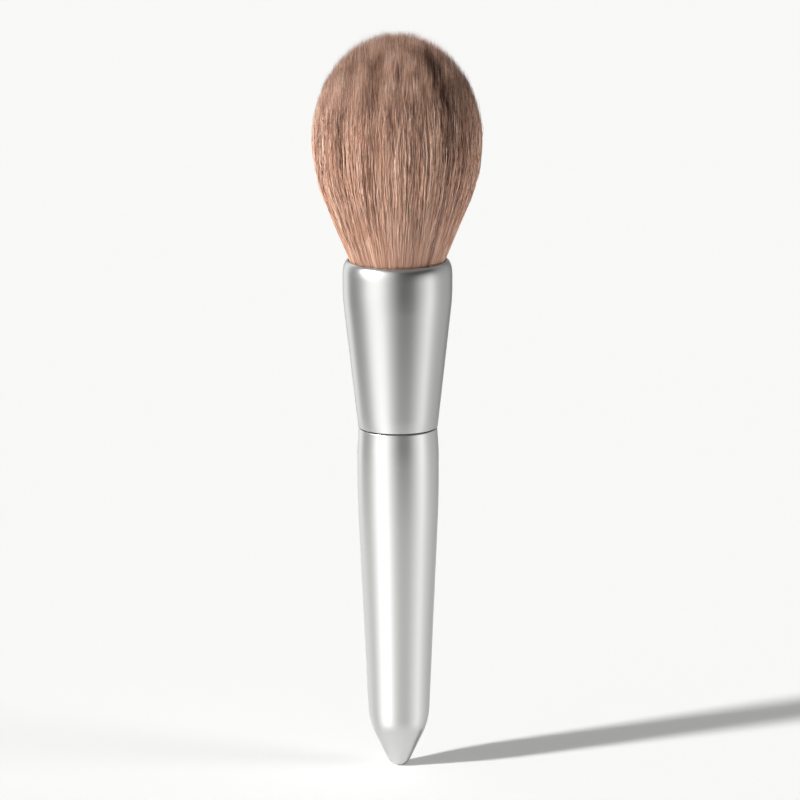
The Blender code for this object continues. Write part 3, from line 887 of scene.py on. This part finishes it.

# %% [markdown]
# ## Polyester fibre
#
# The real hair is polyester, dyed in the melt, pressed through fine holes and drawn out, which leaves each
# fibre smooth along its length. The eye gets a dusty rose brown with a soft shine on each hair, darker
# Hair curves with a hair shader would look well too, but they aren't exported with the meshes, so the
# fibres are tubes with an ordinary shader. Its colour comes from the shade of each point, by way of a ramp
# from the dark of a gap to the pale of a free fibre; the shade also carries painted shade on the crown and
# in the partings.

# %% Make the polyester
def polyester_fibre():
    """Dyed and drawn polyester: each fibre has its own shade of one colour and a soft shine; painted shade
    darkens the crown and the partings.
    """
    material, tree = new_material("drawn_polyester_fibre")
    shade = add_node(tree, "ShaderNodeAttribute", attribute_name="shade").outputs["Fac"]
    ramp = add_node(tree, "ShaderNodeValToRGB", {"Fac": shade})
    # The dark end also shows the painted shade of the crown and the partings
    ramp.color_ramp.elements[0].color = to_linear("#644136")
    ramp.color_ramp.elements[1].color = to_linear("#FBDCC6")
    middle = ramp.color_ramp.elements.new(0.5)
    middle.color = to_linear("#DCAB90")
    shader = add_node(tree, "ShaderNodeBsdfPrincipled", {
        "Base Color": ramp.outputs["Color"], "Roughness": 0.45, "IOR": 1.57})
    add_node(tree, "ShaderNodeOutputMaterial", {"Surface": shader.outputs["BSDF"]})
    return material


put_on(tuft, polyester_fibre())

# %% [markdown]
# ## The pieces inside
#
# Nobody sees these in the finished brush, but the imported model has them, made as such brushes usually are.
# The roots are set in cast epoxy, which is amber and glossy. The thread is spun polyester, pale and dull.
# The sleeve is moulded ABS and the core moulded polystyrene, both with the faint grain of a spark-eroded
# mould. One function makes them all, because each is one colour with a fine bump.

# %% Make the plain materials
GRAIN_STRENGTH = 0.3
GRAIN_DEPTH_SHARE = 0.1


def moulded(name, code, roughness, grain):
    """A plain moulded or wound piece, with the faint grain that its making leaves."""
    material, tree = new_material(name)
    place = add_node(tree, "ShaderNodeTexCoord").outputs["Object"]
    noise = add_node(tree, "ShaderNodeTexNoise", {"Vector": place, "Scale": 1 / grain, "Detail": 2.0})
    bump = add_node(tree, "ShaderNodeBump", {
        "Height": noise.outputs["Fac"], "Strength": GRAIN_STRENGTH, "Distance": grain * GRAIN_DEPTH_SHARE})
    shader = add_node(tree, "ShaderNodeBsdfPrincipled", {
        "Base Color": to_linear(code), "Roughness": roughness, "Normal": bump.outputs["Normal"]})
    add_node(tree, "ShaderNodeOutputMaterial", {"Surface": shader.outputs["BSDF"]})
    return material


# Each has its name, its colour, its roughness and the size of its grain
CAST_EPOXY = ("cast_epoxy", "#B9A06A", 0.25, 1.5 * MM)
INSIDE = {
    "root_thread": ("polyester_thread", "#E4DCCB", 0.8, 0.12 * MM),
    "root_resin": CAST_EPOXY,
    "ferrule_sleeve": ("moulded_abs", "#3B3836", 0.5, 0.3 * MM),
    "handle_core": ("moulded_polystyrene", "#D8D4CB", 0.5, 0.3 * MM),
}
for node, facts in INSIDE.items():
    put_on([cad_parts[node]], moulded(*facts))
put_on([root_slice], moulded(*CAST_EPOXY))

# %% [markdown]
# ## Hide the imported pieces that the new ones replace
#
# The imported handle, ferrule and tuft are still in the scene, in the same places as the new pieces. Each new
# piece is hung on the body it moves with, and the packed one that it replaces is hidden. The list gives, for
# each new piece, that packed one and the kind of finish it wears. The tuft has many meshes, and all of them
# stand for the one packed tuft, as does the slice of its resin. Each piece could be handled where it is made,
# but one list keeps these facts together.

stands_for = [
    (handle, "handle_shell", "satin_aluminium"),
    (ferrule, "ferrule", "satin_aluminium"),
    (root_slice, "bristle_tuft", "root_epoxy"),
]
stands_for += [(piece, "bristle_tuft", "synthetic_fibre") for piece in tuft]
for piece, node, finish in stands_for:
    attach(piece, "root")
    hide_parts(node)
print(f"{len(stands_for)} pieces declared")

# %% [markdown]
# ## The floor
#
# The brush stands on its tip on a pale matt board, so wide that it fills the picture behind it as well. Any
# gloss on it would mirror the tent of the next steps, so the board has a plain diffuse shader.

# %% Lay the floor
FLOOR_RADIUS = 6.0
FLOOR_SIDES = 128

bpy.ops.object.select_all(action="DESELECT")
bpy.ops.mesh.primitive_circle_add(vertices=FLOOR_SIDES, radius=FLOOR_RADIUS, fill_type="NGON")
floor = bpy.context.object
floor.name = "floor"


def matt_board():
    """White matt board, which has no gloss to mirror the tent."""
    material, tree = new_material("white_matt_board")
    paint = add_node(tree, "ShaderNodeBsdfDiffuse", {"Color": to_linear("#FAFAF9")})
    add_node(tree, "ShaderNodeOutputMaterial", {"Surface": paint.outputs["BSDF"]})
    return material


put_on([floor], matt_board())

# %% [markdown]
# ## The key and the fill
#
# A low key light from the left front makes the hair's left side light and its right side dark, and throws
# the shadow on the floor. A weak fill from the right, spread wide, keeps single hairs visible on the dark
# side. The metal doesn't mirror the fill: its bands come from the key and from the tent of the next step.
# Area lamps would do, but a sun lights every part alike, so its strength needs no distance. Together with
# the light of the room the two suns bring the floor to just under white, so that nothing pale clips.

# %% Hang the two suns
KEY_AZIMUTH = math.radians(-64)
KEY_ELEVATION = math.radians(24)
KEY_SPREAD = math.radians(6)
KEY_STRENGTH = 4.65
FILL_AZIMUTH = math.radians(75)
FILL_ELEVATION = math.radians(24)
FILL_SPREAD = math.radians(25)
FILL_STRENGTH = 0.75


def hang_sun(name, azimuth, elevation, spread, strength):
    """Add a sun. Its azimuth is 0 in front of the brush and positive at the right."""
    sun = bpy.data.objects.new(name, bpy.data.lights.new(name, "SUN"))
    bpy.context.scene.collection.objects.link(sun)
    sun.data.energy = strength
    sun.data.angle = spread
    level = math.cos(elevation)
    toward_sun = Vector((math.sin(azimuth) * level, -math.cos(azimuth) * level, math.sin(elevation)))
    sun.rotation_euler = toward_sun.to_track_quat("Z", "Y").to_euler()
    return sun


key = hang_sun("key", KEY_AZIMUTH, KEY_ELEVATION, KEY_SPREAD, KEY_STRENGTH)
fill = hang_sun("fill", FILL_AZIMUTH, FILL_ELEVATION, FILL_SPREAD, FILL_STRENGTH)
fill.visible_glossy = False

# %% [markdown]
# ## The tent
#
# Metal looks like what it mirrors, so the light is part of its finish. Product photographers stand a tent of
# paper round shiny things and paint it light and dark, and each stripe of the tent becomes a band on the
# metal. This tent is seen by mirrored light alone. It starts as a flat dish round the tip, rises as a narrow
# side and opens as a cone. The stripes were set in many small steps, until the greys of the bands came close
# to those in the photograph: bright at the left front, dark in front and bright again at the right. The dish
# has softer, paler stripes, as a pale floor would, and so the bands fade towards the tip.

# %% Model the tent
# Each ring is a radius and a height in metres
TENT_RINGS = [(0.019, 0), (0.12, 0.004), (0.135, 0.10), (0.55, 0.55)]
TENT_SIDES = 72

bpy.ops.object.select_all(action="DESELECT")
bpy.ops.mesh.primitive_circle_add(vertices=TENT_SIDES, radius=TENT_RINGS[0][0])
tent = bpy.context.object
tent.name = "tent"
edit_all()
for (radius, height), (next_radius, next_height) in zip(TENT_RINGS, TENT_RINGS[1:]):
    bpy.ops.mesh.extrude_edges_move(TRANSFORM_OT_translate={"value": (0, 0, next_height - height)})
    grow_by = next_radius / radius
    bpy.ops.transform.resize(value=(grow_by, grow_by, 1), center_override=(0, 0, next_height))
bpy.ops.mesh.select_all(action="SELECT")
bpy.ops.mesh.normals_make_consistent(inside=True)
bpy.ops.object.mode_set(mode="OBJECT")
outward = [face for face in tent.data.polygons if face.normal.xy.dot(face.center.xy) > 0]
print(f"tent: {len(tent.data.polygons)} faces, {len(outward)} of them turned outwards")

# %% Paint its stripes
# Each stripe: its azimuth, from -90 at the left to 90 at the right, and its brightness on the dish, low on
# the tent and high up. Between the heights one brightness fades into the next
STRIPES = [
    (-180, 0.93, 0.50, 0.50), (-160, 0.93, 0.50, 0.50), (-145, 1.00, 1.30, 1.40), (-128, 1.10, 1.40, 1.20),
    (-112, 1.00, 0.38, 0.30), (-98, 0.82, 0.37, 0.35), (-88, 0.82, 0.42, 0.45), (-76, 1.10, 0.70, 0.80),
    (-60, 1.70, 1.60, 1.80), (-45, 2.10, 1.80, 1.80), (-32, 2.00, 1.65, 1.80), (-15, 1.15, 0.78, 0.80),
    (4, 0.76, 0.15, 0.18), (30, 0.74, 0.22, 0.05), (54, 1.15, 1.12, 0.05), (70, 1.45, 1.75, 0.06),
    (86, 1.05, 0.90, 0.15), (102, 0.85, 0.65, 0.40), (128, 0.62, 0.60, 0.40), (146, 0.62, 0.30, 0.20),
    (162, 0.80, 0.35, 0.30), (180, 0.93, 0.50, 0.50)]
BRIGHTEST = 2.5
LOW_FROM = 0.004
LOW_TO = 0.085
HIGH_FROM = 0.09
HIGH_TO = 0.22


def paint_ramp(ramp, column):
    """Put the stripes' brightness from one column into a colour ramp, as greys."""
    elements = ramp.color_ramp.elements
    while len(elements) < len(STRIPES):
        elements.new(0.5)
    for element, stripe in zip(elements, STRIPES):
        element.position = (stripe[0] + 180) / 360
    for element, stripe in zip(elements, STRIPES):
        element.color = (*[stripe[column] / BRIGHTEST] * 3, 1)


def striped_paper():
    """Paper lit from behind, striped by azimuth. From outside it lets the light through."""
    material, tree = new_material("striped_tent_paper")
    place = add_node(tree, "ShaderNodeTexCoord").outputs["Object"]
    x, y, z = add_node(tree, "ShaderNodeSeparateXYZ", {"Vector": place}).outputs
    front = add_node(tree, "ShaderNodeMath", {0: y, 1: -1.0}, operation="MULTIPLY").outputs["Value"]
    azimuth = add_node(tree, "ShaderNodeMath", {0: x, 1: front}, operation="ARCTAN2").outputs["Value"]
    share = add_node(tree, "ShaderNodeMapRange", {
        "Value": azimuth, "From Min": -math.pi, "From Max": math.pi})
    ramps = []
    for column in (1, 2, 3):
        ramp = add_node(tree, "ShaderNodeValToRGB", {"Fac": share.outputs["Result"]})
        paint_ramp(ramp, column)
        ramps.append(ramp.outputs["Color"])
    stripe = ramps[0]
    for upper, (low, high) in zip(ramps[1:], ((LOW_FROM, LOW_TO), (HIGH_FROM, HIGH_TO))):
        fade = add_node(tree, "ShaderNodeMapRange", {"Value": z, "From Min": low, "From Max": high},
                        interpolation_type="SMOOTHSTEP")
        # The sockets 0, 6 and 7 of a Mix node are its factor and its two colours
        mix = add_node(tree, "ShaderNodeMix", {0: fade.outputs["Result"], 6: stripe, 7: upper},
                       data_type="RGBA")
        stripe = mix.outputs[2]
    glow = add_node(tree, "ShaderNodeEmission", {"Color": stripe, "Strength": BRIGHTEST})
    clear = add_node(tree, "ShaderNodeBsdfTransparent")
    outside = add_node(tree, "ShaderNodeNewGeometry").outputs["Backfacing"]
    paper = add_node(tree, "ShaderNodeMixShader", {
        0: outside, 1: glow.outputs["Emission"], 2: clear.outputs["BSDF"]})
    add_node(tree, "ShaderNodeOutputMaterial", {"Surface": paper.outputs["Shader"]})
    return material


put_on([tent], striped_paper())
for ray in ("visible_camera", "visible_diffuse", "visible_shadow", "visible_transmission"):
    setattr(tent, ray, False)

# %% [markdown]
# ## The room
#
# Light from all sides stands for the pale room: it opens the shadows. The view transform is Standard, which
# shows a colour as it is written, where a filmic one would grey the whites.

# %% Light the room
ROOM_LIGHT = 0.289

world = bpy.data.worlds.new("room")
bpy.context.scene.world = world
world.use_nodes = True
world.node_tree.nodes.clear()
room = add_node(world.node_tree, "ShaderNodeBackground", {
    "Color": to_linear("#FFFFFF"), "Strength": ROOM_LIGHT})
add_node(world.node_tree, "ShaderNodeOutputWorld", {"Surface": room.outputs["Background"]})

bpy.context.scene.view_settings.view_transform = "Standard"
